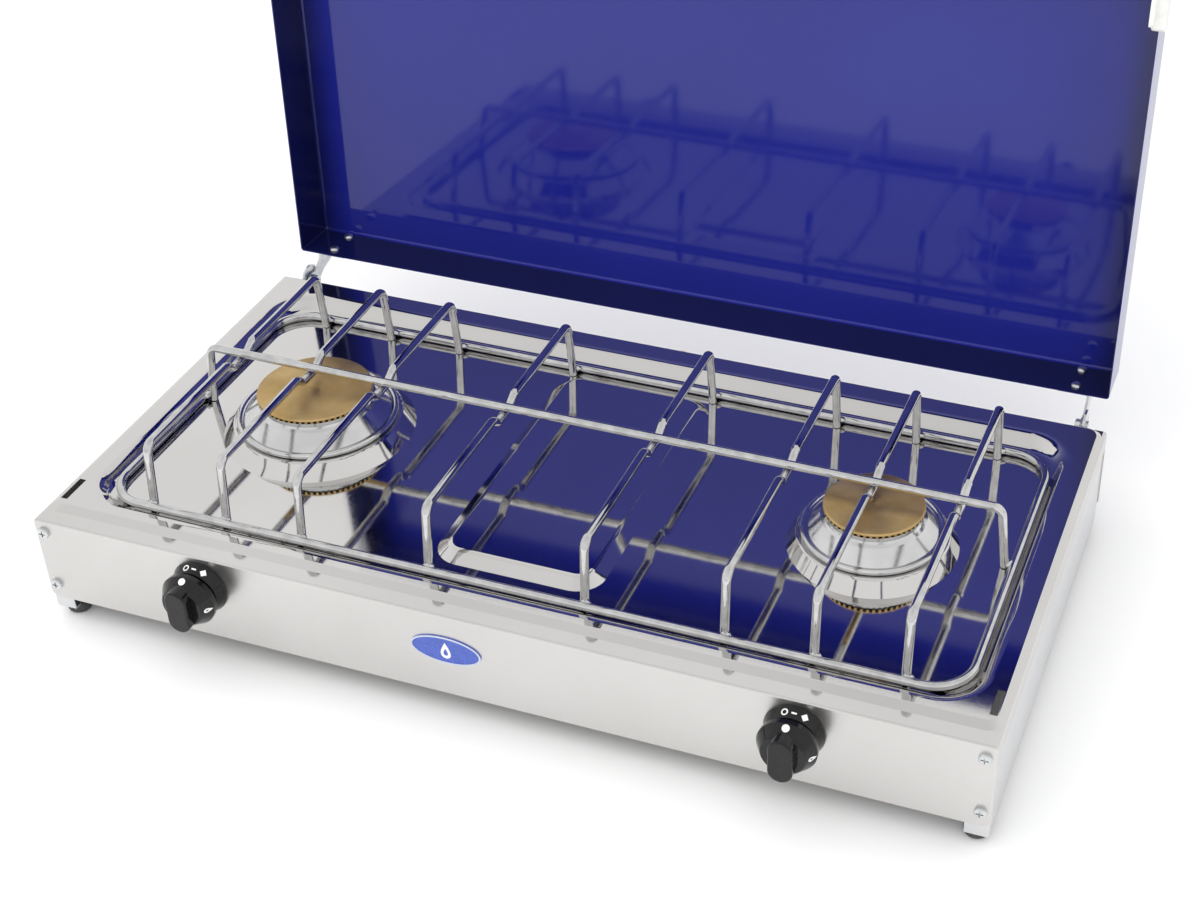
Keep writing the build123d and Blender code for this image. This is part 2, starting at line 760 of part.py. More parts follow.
def hinge_ear():
    """The right-hand ear: a plate standing off the back panel, folded from a riveted flange."""
    inner = arm_x + plate + 0.5
    face = body_depth + seam
    flange = block(inner - 20, inner + plate, face, face + 1.2, pin_z - 26, pin_z + 1.5)
    outline = Polyline(
        (face, pin_z - 26), (face, pin_z + 6.2), (pin_y - 7.0, pin_z + 9.0), (pin_y - 3.0, pin_z + 11.4),
        (pin_y + 1.6, pin_z + 11.8), (pin_y + 6.5, pin_z + 9.5), (pin_y + 10.0, pin_z + 3.5),
        (pin_y + 9.5, pin_z - 6.0), (pin_y, pin_z - 22.0), (face + 1.2, pin_z - 26), close=True)
    web = extrude(Plane.YZ.offset(inner) * make_face(outline), plate)
    ear = flange + web
    for x, z in ear_rivet_spots():
        if x > 0:
            ear = ear - rod((x, face - 1, z), (x, face + 3, z), rivet_hole)
    return ear - rod((inner - 1, pin_y, pin_z), (inner + plate + 1, pin_y, pin_z), pin_radius)


def ear_rivets():
    """The rivets that hold the ears to the back panel."""
    rivets = []
    for x, z in ear_rivet_spots():
        inside = body_depth - sheet
        outside = body_depth + seam + 1.2
        shank = rod((x, inside, z), (x, outside, z), rivet_hole)
        head = rod((x, outside, z), (x, outside + 1.0, z), 3.2)
        tail = rod((x, inside - 1.2, z), (x, inside, z), 3.2)
        rivets.append(shank + head + tail)
    return Compound(rivets)


def hinge_pin():
    """The right-hand pin, headed at its inner end and riveted over outside the ear."""
    inner = arm_x - 0.3
    outer = arm_x + 2 * plate + 0.5
    shank = rod((inner, pin_y, pin_z), (outer, pin_y, pin_z), pin_radius)
    head = rod((inner - 3.4, pin_y, pin_z), (inner, pin_y, pin_z), 4.6)
    head = fillet(head.edges().sort_by(Axis.X)[0], 1.0)
    tail = rod((outer, pin_y, pin_z), (outer + 1.4, pin_y, pin_z), 4.0)
    return shank + head + tail


# ---------------------------------------------------------------- writing the pieces

def opened(piece):
    """A piece of the lid, turned back to where it rests when open."""
    return piece.rotate(pin_axis, -open_angle)


def pair(name, right):
    """A right-hand piece and its mirror image."""
    return {"right_" + name: right, "left_" + name: mirrored(right)}


def fixed_pieces():
    """Everything that stays with the case."""
    pieces = {"top_cover": top_cover(), "badge": badge()}
    pieces["manifold"] = manifold()
    pieces["supply_pipe"] = supply_pipe()
    pieces.update(pair("side_panel", side_panel()))
    pieces.update(pair("hinge_ear", hinge_ear()))
    pieces.update(pair("hinge_pin", hinge_pin()))
    pieces["front_screws"] = panel_screws(0.0, -1)
    pieces["rear_screws"] = panel_screws(body_depth, 1)
    pieces["burner_screws"] = burner_screws()
    pieces["ear_rivets"] = ear_rivets()
    pieces["pipe_nuts"] = pipe_nuts()
    pieces["hose_nozzle"] = hose_nozzle()
    pieces["nozzle_locknut"] = nozzle_locknut()
    for hand, side in (("left", -1), ("right", 1)):
        for end, y in zip(("front", "rear"), foot_spots):
            pieces[f"{hand}_{end}_foot"] = rubber_foot(side, y)
    return pieces


def tap_pieces():
    """The burner, tap and knob on each side."""
    pieces = {}
    for hand, (burner, x) in zip(("left", "right"), burners):
        pieces[hand + "_burner_body"] = burner_body(burner, x)
        pieces[hand + "_burner_cap"] = burner_cap(burner, x)
        pieces[hand + "_tap_body"] = tap_body(x)
        pieces[hand + "_tap_plug"] = tap_plug(x)
        pieces[hand + "_tap_bonnet"] = tap_bonnet(x)
        pieces[hand + "_tap_bracket"] = tap_bracket(x)
        pieces[hand + "_tap_spindle"] = tap_spindle(x)
        pieces[hand + "_tap_spring"] = tap_spring(x)
        pieces[hand + "_jet"] = jet(x)
        pieces[hand + "_bezel"] = bezel(x)
        pieces[hand + "_knob"] = knob(x)
    return pieces


def support_pieces():
    """The welded wire pan support."""
    pieces = {"support_ring": support_ring(), "long_bar": long_bar()}
    for number, x in enumerate(cross_bar_x, start=1):
        pieces[f"cross_bar_{number}"] = cross_bar(x)
    return pieces


def lid_pieces():
    """The lid and what is fixed to it, opened."""
    closed = {"lid_pan": lid_pan(), "arm_rivets": arm_rivets()}
    closed.update(pair("hinge_arm", hinge_arm()))
    closed.update(pair("lid_catch", lid_catch()))
    clip = catch_spring()
    closed["catch_springs"] = Compound([clip, mirrored(clip)])
    return {name: opened(piece) for name, piece in closed.items()}


os.makedirs("parts", exist_ok=True)
for name, piece in {**fixed_pieces(), **tap_pieces(), **support_pieces(), **lid_pieces()}.items():
    export_step(piece.moved(Location((0, front_y, 0))), f"parts/{name}.step")
print("front face at y", round(front_y, 4), "hinge pin at y", round(front_y + pin_y, 4), "z", round(pin_z, 4))
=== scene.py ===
import json
import math

import bmesh
import bpy
from mathutils import Matrix, Vector, noise


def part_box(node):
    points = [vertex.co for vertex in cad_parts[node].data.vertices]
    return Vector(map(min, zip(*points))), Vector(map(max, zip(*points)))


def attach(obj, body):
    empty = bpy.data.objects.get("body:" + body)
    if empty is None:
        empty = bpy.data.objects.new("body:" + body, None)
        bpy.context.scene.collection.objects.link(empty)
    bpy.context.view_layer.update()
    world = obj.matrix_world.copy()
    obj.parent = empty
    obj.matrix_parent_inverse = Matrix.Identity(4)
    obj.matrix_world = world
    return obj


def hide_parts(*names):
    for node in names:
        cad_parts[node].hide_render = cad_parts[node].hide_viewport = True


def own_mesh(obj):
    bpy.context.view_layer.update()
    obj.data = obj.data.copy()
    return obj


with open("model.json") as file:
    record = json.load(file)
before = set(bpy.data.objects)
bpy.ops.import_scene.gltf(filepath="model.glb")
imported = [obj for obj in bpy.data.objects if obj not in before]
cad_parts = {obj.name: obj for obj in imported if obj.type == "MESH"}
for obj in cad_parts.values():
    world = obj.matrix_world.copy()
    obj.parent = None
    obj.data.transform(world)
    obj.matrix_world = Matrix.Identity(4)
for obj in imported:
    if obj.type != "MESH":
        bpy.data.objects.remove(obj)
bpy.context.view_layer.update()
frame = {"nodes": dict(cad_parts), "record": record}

nodes = frame["nodes"]
MM = 0.001

# Reference lines of the case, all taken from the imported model
cover_low, cover_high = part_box("top_cover")
FRONT = cover_low.y
BACK = cover_high.y
HALF = cover_high.x

# The camera: where it looks, from which side and how far, and its lens
AIM = (-0.0004, 0.3997, -0.0727)
AZIMUTH = 20.121
ELEVATION = 35.938
REACH = 1.5113
ROLL = -0.672
SENSOR = 36.0
LENS = 59.3
SHIFT = (-0.0996, -0.0028)

# The sky's brightness, from straight down at 0 to straight up at 1
SKY = ((0.0, 0.95), (0.60, 1.0), (0.86, 0.92), (1.0, 0.80))
FLOOR_HALF = 12.0
FLOOR_TONE = (0.93, 0.93, 0.93, 1.0)

# Where the gas ports start below the top of a cap
PORT_ROOF = -1.15 * MM

# The open lid, measured from its upper back edge
LID_LEAN = math.radians(2.86)
LID_HEIGHT = 291.84 * MM
LID_SKIN = 0.4 * MM


# ---------------------------------------------------------------- camera, light and floor

def look_at(camera, place, target, roll):
    """Points a camera from one place at another and rolls it about its view."""
    camera.location = place
    view = (target - place).to_track_quat("-Z", "Y").to_matrix().to_4x4()
    spun = view @ Matrix.Rotation(math.radians(roll), 4, "Z")
    camera.rotation_mode = "QUATERNION"
    camera.rotation_quaternion = spun.to_quaternion()


def make_camera():
    """The camera stands above and to the right of the front, and looks down at the hob."""
    target = Vector((AIM[0], FRONT + AIM[1], AIM[2]))
    azimuth = math.radians(AZIMUTH)
    elevation = math.radians(ELEVATION)
    level = math.cos(elevation)
    back = Vector((math.sin(azimuth) * level, -math.cos(azimuth) * level, math.sin(elevation)))
    data = bpy.data.cameras.new("camera")
    data.sensor_width = SENSOR
    data.lens = LENS
    data.shift_x, data.shift_y = SHIFT
    camera = bpy.data.objects.new("camera", data)
    bpy.context.scene.collection.objects.link(camera)
    look_at(camera, target + back * REACH, target, ROLL)
    bpy.context.scene.camera = camera


def softbox(name, place, target, width, height, power):
    """A rectangular area light that shiny surfaces don't mirror."""
    data = bpy.data.lights.new(name, "AREA")
    data.shape = "RECTANGLE"
    data.size = width
    data.size_y = height
    data.energy = power
    lamp = bpy.data.objects.new(name, data)
    lamp.location = place
    lamp.visible_glossy = False
    lamp.rotation_euler = (Vector(target) - Vector(place)).to_track_quat("-Z", "Y").to_euler()
    bpy.context.scene.collection.objects.link(lamp)


def make_sky(world):
    """White walls all round, and a slightly darker ceiling above them."""
    world.use_nodes = True
    tree = world.node_tree
    sky = tree.nodes["Background"]
    place = tree.nodes.new("ShaderNodeTexCoord")
    split = tree.nodes.new("ShaderNodeSeparateXYZ")
    ramp = tree.nodes.new("ShaderNodeValToRGB")
    tree.links.new(place.outputs["Generated"], split.inputs[0])
    tree.links.new(split.outputs["Z"], ramp.inputs[0])
    tree.links.new(ramp.outputs[0], sky.inputs["Color"])
    points = ramp.color_ramp.elements
    while len(points) < len(SKY):
        points.new(0.5)
    for point, (height, tone) in zip(points, SKY):
        point.position = height
        point.color = (tone, tone, tone, 1.0)
    sky.inputs["Strength"].default_value = 1.0


def make_studio():
    """A pale floor between white walls, with soft lamps above and in front."""
    scene = bpy.context.scene
    scene.view_settings.view_transform = "Standard"
    scene.world = bpy.data.worlds.new("studio")
    make_sky(scene.world)
    softbox("top_lamp", (-0.5, -0.5, 2.0), (0, 0, 0), 3.6, 3.0, 25.0)
    softbox("front_lamp", (0.6, -2.0, 1.9), (0, 0, 0.15), 3.0, 2.2, 14.0)

    half = FLOOR_HALF
    corners = [(-half, -half, 0), (half, -half, 0), (half, half, 0), (-half, half, 0)]
    mesh = bpy.data.meshes.new("floor")
    mesh.from_pydata(corners, [], [(0, 1, 2, 3)])
    floor = bpy.data.objects.new("floor", mesh)
    scene.collection.objects.link(floor)
    paint = bpy.data.materials.new("floor")
    paint.use_nodes = True
    shader = paint.node_tree.nodes["Principled BSDF"]
    shader.inputs["Base Color"].default_value = FLOOR_TONE
    shader.inputs["Roughness"].default_value = 0.8
    floor.data.materials.append(paint)


# ---------------------------------------------------------------- materials

class Surface:
    """A node material being put together."""

    def __init__(self, name):
        self.material = bpy.data.materials.new(name)
        self.material.use_nodes = True
        self.tree = self.material.node_tree
        self.shader = self.tree.nodes["Principled BSDF"]
        self.place = self.add("ShaderNodeTexCoord").outputs["Object"]

    def add(self, kind, **values):
        node = self.tree.nodes.new(kind)
        for key, value in values.items():
            setattr(node, key, value)
        return node

    def join(self, out, into):
        self.tree.links.new(out, into)

    def constant(self, **values):
        """Sets the shader's own sockets."""
        for key, value in values.items():
            self.shader.inputs[key.replace("_", " ")].default_value = value

    def math(self, operation, first, second=None):
        node = self.add("ShaderNodeMath", operation=operation)
        for socket, value in zip(node.inputs, (first, second)):
            if value is None:
                continue
            if isinstance(value, (int, float)):
                socket.default_value = value
            else:
                self.join(value, socket)
        return node.outputs[0]

    def axes(self):
        """The three object coordinates."""
        node = self.add("ShaderNodeSeparateXYZ")
        self.join(self.place, node.inputs[0])
        return node.outputs

    def stretched(self, x, y, z):
        """Object coordinates scaled along each axis."""
        node = self.add("ShaderNodeMapping")
        node.inputs["Scale"].default_value = (x, y, z)
        self.join(self.place, node.inputs["Vector"])
        return node.outputs[0]

    def noise(self, scale, detail=4.0, rough=0.55, where=None):
        node = self.add("ShaderNodeTexNoise")
        node.inputs["Scale"].default_value = scale
        node.inputs["Detail"].default_value = detail
        node.inputs["Roughness"].default_value = rough
        self.join(where or self.place, node.inputs["Vector"])
        return node.outputs["Fac"]

    def ranged(self, value, low, high, start=0.3, end=0.7):
        """Maps a value from one range to another."""
        node = self.add("ShaderNodeMapRange")
        node.inputs["From Min"].default_value = start
        node.inputs["From Max"].default_value = end
        node.inputs["To Min"].default_value = low
        node.inputs["To Max"].default_value = high
        self.join(value, node.inputs["Value"])
        return node.outputs[0]

    def tones(self, value, *stops):
        """A colour ramp, from pairs of place and colour."""
        ramp = self.add("ShaderNodeValToRGB")
        points = ramp.color_ramp.elements
        while len(points) < len(stops):
            points.new(0.5)
        for point, (place, colour) in zip(points, stops):
            point.position = place
            point.color = (*colour, 1.0)
        self.join(value, ramp.inputs[0])
        return ramp.outputs[0]

    def blend(self, factor, first, second):
        """Mixes two colours or colour sockets."""
        node = self.add("ShaderNodeMix", data_type="RGBA")
        self.join(factor, node.inputs[0])
        for socket, value in ((node.inputs[6], first), (node.inputs[7], second)):
            if isinstance(value, tuple):
                socket.default_value = (*value, 1.0)
            else:
                self.join(value, socket)
        return node.outputs[2]

    def mixed(self, factor, first, second):
        """Mixes two numbers or number sockets."""
        node = self.add("ShaderNodeMix", data_type="FLOAT")
        self.join(factor, node.inputs[0])
        for socket, value in ((node.inputs[2], first), (node.inputs[3], second)):
            if isinstance(value, (int, float)):
                socket.default_value = value
            else:
                self.join(value, socket)
        return node.outputs[0]

    def bump(self, height, strength, distance, below=None):
        node = self.add("ShaderNodeBump")
        node.inputs["Strength"].default_value = strength
        node.inputs["Distance"].default_value = distance
        self.join(height, node.inputs["Height"])
        if below:
            self.join(below, node.inputs["Normal"])
        return node.outputs[0]

    def finish(self, colour=None, rough=None, normal=None):
        for socket, value in (("Base Color", colour), ("Roughness", rough), ("Normal", normal)):
            if value is not None:
                self.join(value, self.shader.inputs[socket])
        return self.material


def hob_steel():
    """Polished on top and finely brushed on the folded front, back and sides."""
    s = Surface("hob_steel")
    s.constant(Metallic=1.0)
    x, y, z = s.axes()
    skin = 1.2 * MM
    outside = s.math("MAXIMUM", s.math("LESS_THAN", y, FRONT + skin), s.math("GREATER_THAN", y, BACK - skin))
    outside = s.math("MAXIMUM", outside, s.math("GREATER_THAN", s.math("ABSOLUTE", x), HALF - skin))
    brushed = s.noise(60.0, 5.0, 0.6, s.stretched(1.5, 60.0, 60.0))
    cloud = s.noise(9.0, 3.0, 0.5)
    marks = s.noise(900.0, 2.0, 0.6)
    colour = s.tones(cloud, (0.35, (0.630, 0.618, 0.604)), (0.65, (0.668, 0.658, 0.645)))
    satin = s.ranged(brushed, 0.26, 0.42)
    mirror = s.ranged(marks, 0.035, 0.085)
    rough = s.mixed(outside, mirror, satin)
    fine = s.bump(brushed, 0.10, 0.02 * MM)
    normal = s.bump(s.noise(14.0, 2.0, 0.4), 0.35, 0.10 * MM, fine)
    return s.finish(colour, rough, normal)


def side_steel():
    """Satin sheet."""
    s = Surface("side_steel")
    s.constant(Metallic=1.0)
    brushed = s.noise(60.0, 5.0, 0.6, s.stretched(60.0, 1.5, 60.0))
    cloud = s.noise(9.0, 3.0, 0.5)
    colour = s.tones(cloud, (0.35, (0.66, 0.665, 0.675)), (0.65, (0.71, 0.715, 0.725)))
    return s.finish(colour, s.ranged(brushed, 0.24, 0.40), s.bump(brushed, 0.15, 0.02 * MM))


def enamel():
    """Deep blue gloss enamel with a faint ripple, with painted shade: a darker blue is painted inside the lid
    on its walls and towards its sides.
    """
    s = Surface("enamel")
    s.constant(Metallic=0.0, Specular_IOR_Level=0.0, Coat_Weight=1.0, Coat_Roughness=0.06, Coat_IOR=1.5)
    low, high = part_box("lid_pan")
    x, y, z = s.axes()
    side = s.math("ABSOLUTE", x)
    cosine, sine = math.cos(LID_LEAN), math.sin(LID_LEAN)
    back = s.math("SUBTRACT", y, high.y)
    rise = s.math("SUBTRACT", z, high.z)
    depth = s.math("SUBTRACT", s.math("MULTIPLY", back, cosine), s.math("MULTIPLY", rise, sine))
    up = s.math("ADD", s.math("MULTIPLY", back, sine), s.math("MULTIPLY", rise, cosine))
    # Painted shade: the inner walls, and a strip growing darker towards each side, get a darker blue that
    # stands in for the shade there
    wall = s.math("LESS_THAN", depth, -3.0 * MM)
    painted_side_shade = s.ranged(side, 0.0, 0.75, high.x - 20 * MM, high.x - 2 * MM)
    edge = s.math("MAXIMUM", painted_side_shade, wall)
    limits = (
        s.math("LESS_THAN", depth, -LID_SKIN),
        s.math("LESS_THAN", side, high.x - LID_SKIN),
        s.math("LESS_THAN", up, -4.0 * MM),
        s.math("GREATER_THAN", up, LID_SKIN - LID_HEIGHT),
    )
    for inside in limits:
        edge = s.math("MULTIPLY", edge, inside)
    cloud = s.noise(5.0, 3.0, 0.5)
    open_blue = s.tones(cloud, (0.3, (0.010, 0.014, 0.215)), (0.7, (0.013, 0.018, 0.245)))
    # The darker blue is painted shade, not a second enamel colour
    painted_shade_blue = s.tones(cloud, (0.3, (0.004, 0.006, 0.045)), (0.7, (0.006, 0.008, 0.060)))
    ripple = s.bump(s.noise(160.0, 2.0, 0.5), 0.12, 0.10 * MM)
    colour = s.blend(edge, open_blue, painted_shade_blue)
    return s.finish(colour, s.ranged(s.noise(400.0), 0.14, 0.24), ripple)


def plain_metal(name, dark, light, low, high, grain, depth):
    """A cast, plated or turned metal with mottled colour and gloss."""
    s = Surface(name)
    s.constant(Metallic=1.0)
    mottle = s.noise(grain * 0.25, 4.0, 0.55)
    fine = s.noise(grain, 4.0, 0.6)
    colour = s.tones(mottle, (0.35, dark), (0.65, light))
    return s.finish(colour, s.ranged(fine, low, high), s.bump(fine, 0.3, depth * MM))


def turned_brass(name, reach):
    """Brass faced on a lathe, with painted shade inside its gas ports, which are coloured near-black. The
    piece's origin is on the lathe's axis.
    """
    s = Surface(name)
    s.constant(Metallic=1.0, Anisotropic=0.65)
    x, y, z = s.axes()
    radius = s.math("SQRT", s.math("ADD", s.math("MULTIPLY", x, x), s.math("MULTIPLY", y, y)))
    rings = s.add("ShaderNodeCombineXYZ")
    s.join(radius, rings.inputs[0])
    s.join(s.math("MULTIPLY", z, 0.5), rings.inputs[2])
    cuts = s.noise(2600.0, 3.0, 0.6, rings.outputs[0])
    stain = s.noise(34.0, 4.0, 0.6)
    along = s.add("ShaderNodeTangent", direction_type="RADIAL", axis="Z")
    s.join(along.outputs[0], s.shader.inputs["Tangent"])
    golds = ((0.32, (0.58, 0.39, 0.16)), (0.55, (0.70, 0.50, 0.23)), (0.72, (0.76, 0.57, 0.30)))
    colour = s.tones(stain, *golds)
    shade = s.ranged(cuts, 0.90, 1.05, 0.35, 0.65)
    toned = s.add("ShaderNodeVectorMath", operation="SCALE")
    s.join(colour, toned.inputs[0])
    s.join(shade, toned.inputs["Scale"])
    # Painted shade: inside the gas port notches the brass is coloured near-black and rough, standing in for
    # the shade in the notches
    below = s.math("LESS_THAN", z, PORT_ROOF - 0.02 * MM)
    port = s.math("MULTIPLY", below, s.math("LESS_THAN", radius, reach - 0.25 * MM))
    colour = s.blend(port, toned.outputs[0], (0.010, 0.008, 0.006))
    return s.finish(colour, s.mixed(port, s.ranged(cuts, 0.40, 0.52), 0.9), s.bump(cuts, 0.35, 0.02 * MM))


def bright_wire():
    """Chromed wire with a faint draw grain."""
    s = Surface("wire_chrome")
    s.constant(Metallic=1.0)
    dull = s.noise(120.0, 3.0, 0.6)
    colour = s.tones(dull, (0.35, (0.52, 0.52, 0.525)), (0.65, (0.64, 0.64, 0.64)))
    wave = s.bump(s.noise(55.0, 2.0, 0.5), 0.22, 0.25 * MM)
    return s.finish(colour, s.ranged(dull, 0.035, 0.09), wave)


def bright_cup():
    """Turned and polished casting."""
    s = Surface("cast_aluminium")
    s.constant(Metallic=1.0)
    soft = s.noise(38.0, 3.0, 0.5)
    fine = s.noise(500.0, 3.0, 0.6)
    colour = s.tones(soft, (0.35, (0.60, 0.60, 0.605)), (0.65, (0.69, 0.69, 0.69)))
    return s.finish(colour, s.ranged(fine, 0.10, 0.19), s.bump(soft, 0.12, 0.2 * MM))


def moulded(name, dark, light, low, high, grain, depth, coat, sheen=0.5):
    """A moulded plastic or rubber."""
    s = Surface(name)
    s.constant(Metallic=0.0, Specular_IOR_Level=sheen, Coat_Weight=coat, Coat_Roughness=0.08)
    mottle = s.noise(grain * 0.2, 3.0, 0.5)
    fine = s.noise(grain, 3.0, 0.6)
    colour = s.tones(mottle, (0.35, dark), (0.65, light))
    return s.finish(colour, s.ranged(fine, low, high), s.bump(fine, 0.25, depth * MM))


def badge_lacquer():
    """Blue lacquer with a pale raised border."""
    s = Surface("badge_blue")
    s.constant(Metallic=0.0, Coat_Weight=0.6, Coat_Roughness=0.08)
    x, y, z = s.axes()
    raised = s.math("LESS_THAN", y, FRONT - 0.7 * MM)
    cloud = s.noise(180.0, 3.0, 0.5)
    blue = s.tones(cloud, (0.35, (0.030, 0.075, 0.42)), (0.65, (0.040, 0.095, 0.50)))
    colour = s.blend(raised, blue, (0.52, 0.56, 0.66))
    fine = s.noise(900.0)
    return s.finish(colour, s.ranged(fine, 0.2, 0.32), s.bump(fine, 0.2, 0.01 * MM))


def make_materials():
    return {
        "hob_steel": hob_steel(),
        "side_steel": side_steel(),
        "enamel": enamel(),
        "badge_blue": badge_lacquer(),
        "zinc": plain_metal("zinc", (0.60, 0.62, 0.63), (0.74, 0.75, 0.76), 0.22, 0.4, 500.0, 0.03),
        "wire_chrome": bright_wire(),
        "cast_aluminium": bright_cup(),
        "brass": plain_metal("brass", (0.56, 0.40, 0.21), (0.70, 0.54, 0.32), 0.34, 0.5, 900.0, 0.03),
        "black_knob": moulded(
            "black_knob", (0.003, 0.003, 0.0033), (0.006, 0.006, 0.0064), 0.2, 0.3, 900.0, 0.01, 0.55, 0.1),
        "foot_rubber": moulded(
            "foot_rubber", (0.03, 0.03, 0.032), (0.06, 0.06, 0.062), 0.5, 0.75, 900.0, 0.06, 0.0),
        "white_plastic": moulded(
            "white_plastic", (0.80, 0.80, 0.78), (0.88, 0.88, 0.86), 0.35, 0.5, 700.0, 0.03, 0.1),
        "spring_steel": plain_metal(
            "spring_steel", (0.45, 0.45, 0.47), (0.6, 0.6, 0.62), 0.2, 0.35, 700.0, 0.02),
    }


def dress_nodes(materials):
    """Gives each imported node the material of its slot."""
    for entry in frame["record"]["subparts"]:
        mesh = nodes[entry["node"]].data
        mesh.materials.clear()
        mesh.materials.append(materials[entry["material_slot"]])


# ---------------------------------------------------------------- pieces

def link_mesh(name, verts, faces, material, centre=(0, 0, 0), crease=35.0):
    """A mesh object with smooth faces and creases where they turn sharply."""
    mesh = bpy.data.meshes.new(name)
    mesh.from_pydata([Vector(v) - Vector(centre) for v in verts], [], faces)
    mesh.polygons.foreach_set("use_smooth", [True] * len(mesh.polygons))
    mesh.set_sharp_from_angle(angle=math.radians(crease))
    mesh.materials.append(material)
    piece = bpy.data.objects.new(name, mesh)
    piece.location = centre
    bpy.context.scene.collection.objects.link(piece)
    return piece


def declare(piece, body, slot, *stood_for):
    """Hangs a piece on the body it rides on and hides the imported parts it replaces; the slot argument is
    not used.
    """
    if stood_for:
        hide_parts(*stood_for)
    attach(piece, body)


def rounded(points, bends, steps=10):
    """Points and squeeze along straight runs joined by arcs. Squeeze is 1 in the middle of a bend."""
    path = [(points[0], 0.0)]
    for before, corner, after, radius in zip(points, points[1:], points[2:], bends):
        back = (before - corner).normalized()
        ahead = (after - corner).normalized()
        half = back.angle(ahead) / 2
        centre = corner + (back + ahead).normalized() * radius / math.sin(half)
        start = corner + back * radius / math.tan(half) - centre
        end = corner + ahead * radius / math.tan(half) - centre
        for step in range(steps + 1):
            share = step / steps
            path.append((centre + start.slerp(end, share) * start.length / start.slerp(end, share).length,
                         math.sin(math.pi * share)))
    path.append((points[-1], 0.0))
    return path


def wire_mesh(name, path, across, radius, material, loop=False, pinch=0.10, sides=20):
    """Round wire along a flat path. It is slightly flattened where it was bent."""
    verts = []
    count = len(path)
    for number, (point, squeeze) in enumerate(path):
        behind = path[number - 1][0] if loop or number else point
        ahead = path[(number + 1) % count][0] if loop or number < count - 1 else point
        side = across.cross((ahead - behind).normalized())
        for step in range(sides):
            angle = 2 * math.pi * step / sides
            verts.append(point + across * radius * (1 + pinch * squeeze) * math.cos(angle)
                         + side * radius * (1 - pinch * squeeze) * math.sin(angle))
    faces = []
    for number in range(count if loop else count - 1):
        here = number * sides
        there = (number + 1) % count * sides
        for step in range(sides):
            after = (step + 1) % sides
            faces.append((here + step, there + step, there + after, here + after))
    if not loop:
        faces.append(tuple(range(sides)))
        faces.append(tuple(reversed(range((count - 1) * sides, count * sides))))
    return link_mesh(name, verts, faces, material)


WIRE = 2.7 * MM
BAR_LEAN = 4.5 * MM
BAR_DIP = 5.42 * MM
DIP_PLACES = (138.0, 144.0, 160.0, 170.0)
LEG_END = 0.3 * MM


def cross_bar(number, material):
    """One raised bar of the pan support."""
    node = f"cross_bar_{number}"
    low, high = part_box(node)
    x = (low.x + high.x) / 2
    near, far = low.y + WIRE, high.y - WIRE
    foot, top = low.z + LEG_END, high.z - WIRE
    first, second, third, fourth = (FRONT + place * MM for place in DIP_PLACES)
    outline = [
        (near, foot), (near + BAR_LEAN, top), (first, top), (second, top - BAR_DIP),
        (third, top - BAR_DIP), (fourth, top), (far - BAR_LEAN, top), (far, foot),
    ]
    points = [Vector((x, y, z)) for y, z in outline]
    path = rounded(points, [bend * MM for bend in (6.0, 5.0, 4.0, 4.0, 5.0, 6.0)])
    piece = wire_mesh(f"bar_wire_{number}", path, Vector((1, 0, 0)), WIRE, material)
    declare(piece, "pan_support", "wire_chrome", node)
    return x


def long_bar(material):
    """The bar that runs lengthwise over the others."""
    low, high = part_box("long_bar")
    y = (low.y + high.y) / 2
    left, right = low.x + WIRE, high.x - WIRE
    foot, top = low.z + LEG_END, high.z - WIRE
    outline = [(left, foot), (left + BAR_LEAN, top), (right - BAR_LEAN, top), (right, foot)]
    path = rounded([Vector((x, y, z)) for x, z in outline], [6.0 * MM, 6.0 * MM])
    piece = wire_mesh("long_bar_wire", path, Vector((0, 1, 0)), WIRE, material)
    declare(piece, "pan_support", "wire_chrome", "long_bar")
    return y


def ring_wire(material):
    """The frame of the pan support."""
    low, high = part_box("support_ring")
    level = (low.z + high.z) / 2
    corner = 25.0 * MM
    left, right = low.x + WIRE, high.x - WIRE
    near, far = low.y + WIRE, high.y - WIRE
    path = []
    quarter = 12
    centres = ((right, far, -1, -1), (left, far, 1, -1), (left, near, 1, 1), (right, near, -1, 1))
    for turn, (x, y, inward, upward) in enumerate(centres):
        for step in range(quarter + 1):
            angle = math.pi / 2 * (turn + step / quarter)
            centre = Vector((x + inward * corner, y + upward * corner, level))
            path.append((centre + corner * Vector((math.cos(angle), math.sin(angle), 0)), 0.0))
    piece = wire_mesh("ring_wire", path, Vector((0, 0, 1)), WIRE, material, loop=True)
    declare(piece, "pan_support", "wire_chrome", "support_ring")
    return left, right, near, far, level


def weld_bead(verts, faces, centre, size, seed):
    """A small uneven bead of metal between two wires."""
    rows, columns = 8, 12
    first = len(verts)
    ways = [Vector((0, 0, 1)), Vector((0, 0, -1))]
    for row in range(1, rows):
        lean = math.pi * row / rows
        for column in range(columns):
            turn = 2 * math.pi * column / columns
            level = math.sin(lean)
            ways.append(Vector((level * math.cos(turn), level * math.sin(turn), math.cos(lean))))
    for way in ways:
        swell = 1 + 0.28 * noise.noise(way * 1.7 + Vector((seed, 0, 0)))
        verts.append(centre + Vector((way.x * size[0], way.y * size[1], way.z * size[2])) * swell)
    rings = [first + 2 + row * columns for row in range(rows - 1)]
    for column in range(columns):
        after = (column + 1) % columns
        faces.append((first, rings[0] + column, rings[0] + after))
        faces.append((first + 1, rings[-1] + after, rings[-1] + column))
        for upper, lower in zip(rings, rings[1:]):
            faces.append((upper + column, lower + column, lower + after, upper + after))


def weld_beads(material, places):
    """All the welds between the bars and the frame."""
    verts = []
    faces = []
    for seed, (place, size) in enumerate(places):
        weld_bead(verts, faces, place, size, seed * 3.7)
    piece = link_mesh("wire_welds", verts, faces, material, crease=180.0)
    declare(piece, "pan_support", "wire_chrome")


